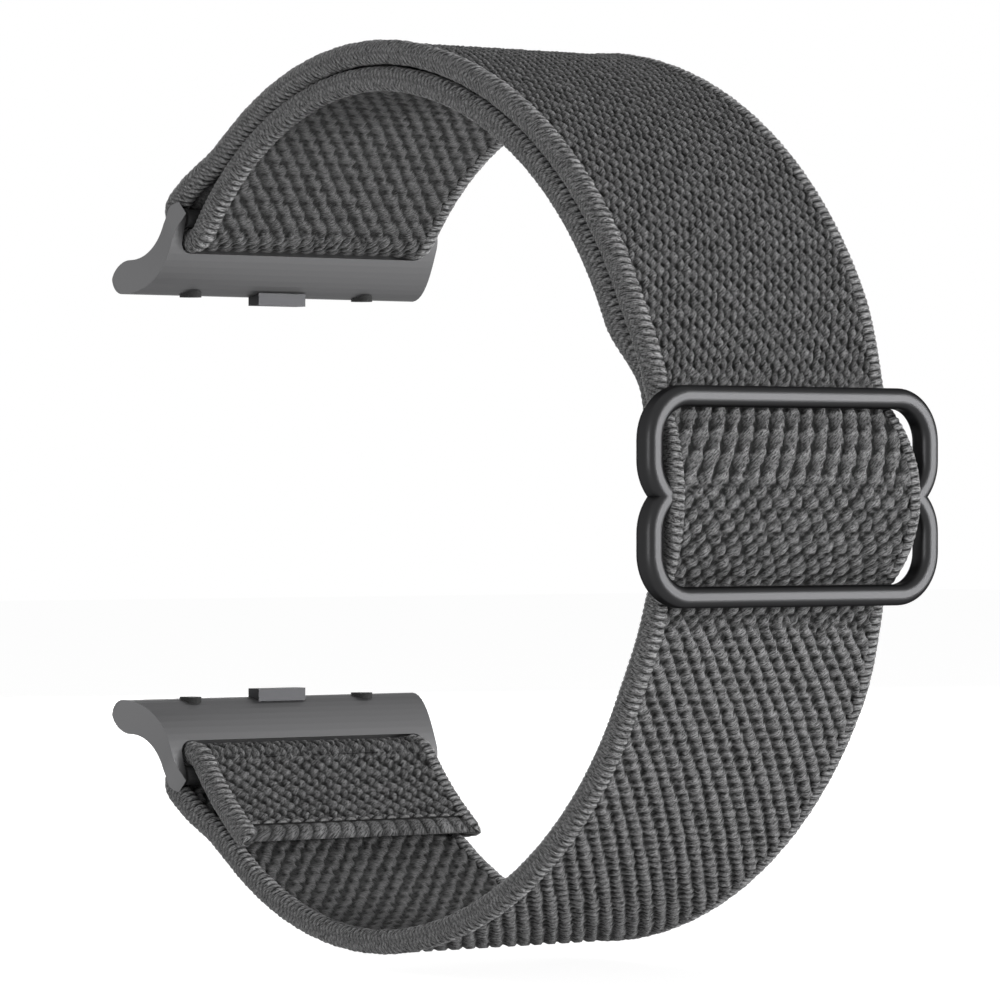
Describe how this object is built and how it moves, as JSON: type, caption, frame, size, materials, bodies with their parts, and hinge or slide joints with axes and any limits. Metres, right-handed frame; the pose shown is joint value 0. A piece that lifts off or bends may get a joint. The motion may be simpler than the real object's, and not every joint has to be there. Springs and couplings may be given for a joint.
{
  "type": "stretch watch band",
  "caption": "Grey woven elastic watch band in one loop, threaded double through a dark metal figure-eight slider, ending in slim metal lug adapters.",
  "frame": {"origin": "centre of the band's overall box", "axes": "+X across the band's width, -Y towards the slider at the inside of the wrist, +Z along the wrist loop's height, from the lower adapter to the upper one"},
  "size_m": [0.0306, 0.0664, 0.0716],
  "materials": {
    "webbing": "woven elastic with raised ribs and corded selvedges",
    "thread": "matte thread",
    "slider_metal": "dark satin coating",
    "adapter_metal": "dark grey, fine satin",
    "latch_steel": "bright",
    "pad_rubber": "matte"
  },
  "bodies": {
    "strap": {"strap_lower_run": "webbing", "strap_lower_loop": "webbing", "strap_lower_flap": "webbing", "lower_hem_stitches": "thread", "strap_outer_layer": "webbing", "strap_upper_loop": "webbing", "strap_inner_layer": "webbing", "strap_lower_slack": "webbing", "strap_outer_slack": "webbing", "strap_inner_slack": "webbing"},
    "slider_webbing": {"strap_over_bar": "webbing", "strap_end_loop": "webbing", "end_loop_stitches": "thread"},
    "slider": {"slider_frame": "slider_metal"},
    "upper_adapter": {"upper_adapter": "adapter_metal", "upper_latch_cover": "adapter_metal", "upper_tongue_pads": "pad_rubber", "upper_latch_springs": "latch_steel"},
    "upper_latch": {"upper_latch_tab": "latch_steel"},
    "lower_adapter": {"lower_adapter": "adapter_metal", "lower_latch_cover": "adapter_metal", "lower_tongue_pads": "pad_rubber", "lower_latch_springs": "latch_steel"},
    "lower_latch": {"lower_latch_tab": "latch_steel"}
  },
  "joints": [
    {"name": "slider_travel", "type": "hinge", "parent": "strap", "child": "slider_webbing", "pos_m": [0, 0.00483, 0], "axis": [1, 0, 0], "range_deg": [-20, 20], "deforming": ["strap_lower_slack", "strap_outer_slack", "strap_inner_slack"]},
    {"name": "slider_tilt", "type": "hinge", "parent": "slider_webbing", "child": "slider", "pos_m": [0, -0.02967, 0], "axis": [1, 0, 0], "range_deg": [-2, 2]},
    {"name": "upper_adapter_swing", "type": "hinge", "parent": "strap", "child": "upper_adapter", "pos_m": [0, 0.02707, 0.02264], "axis": [1, 0, 0], "range_deg": [-10, 10]},
    {"name": "lower_adapter_swing", "type": "hinge", "parent": "strap", "child": "lower_adapter", "pos_m": [0, 0.02707, -0.02264], "axis": [1, 0, 0], "range_deg": [-10, 10]},
    {"name": "upper_latch_press", "type": "slide", "parent": "upper_adapter", "child": "upper_latch", "axis": [0, 0, 1], "range_m": [0, 0.0006], "stiffness_N_per_m": 400, "deforming": ["upper_latch_springs"]},
    {"name": "lower_latch_press", "type": "slide", "parent": "lower_adapter", "child": "lower_latch", "axis": [0, 0, -1], "range_m": [0, 0.0006], "stiffness_N_per_m": 400, "deforming": ["lower_latch_springs"]}
  ]
}
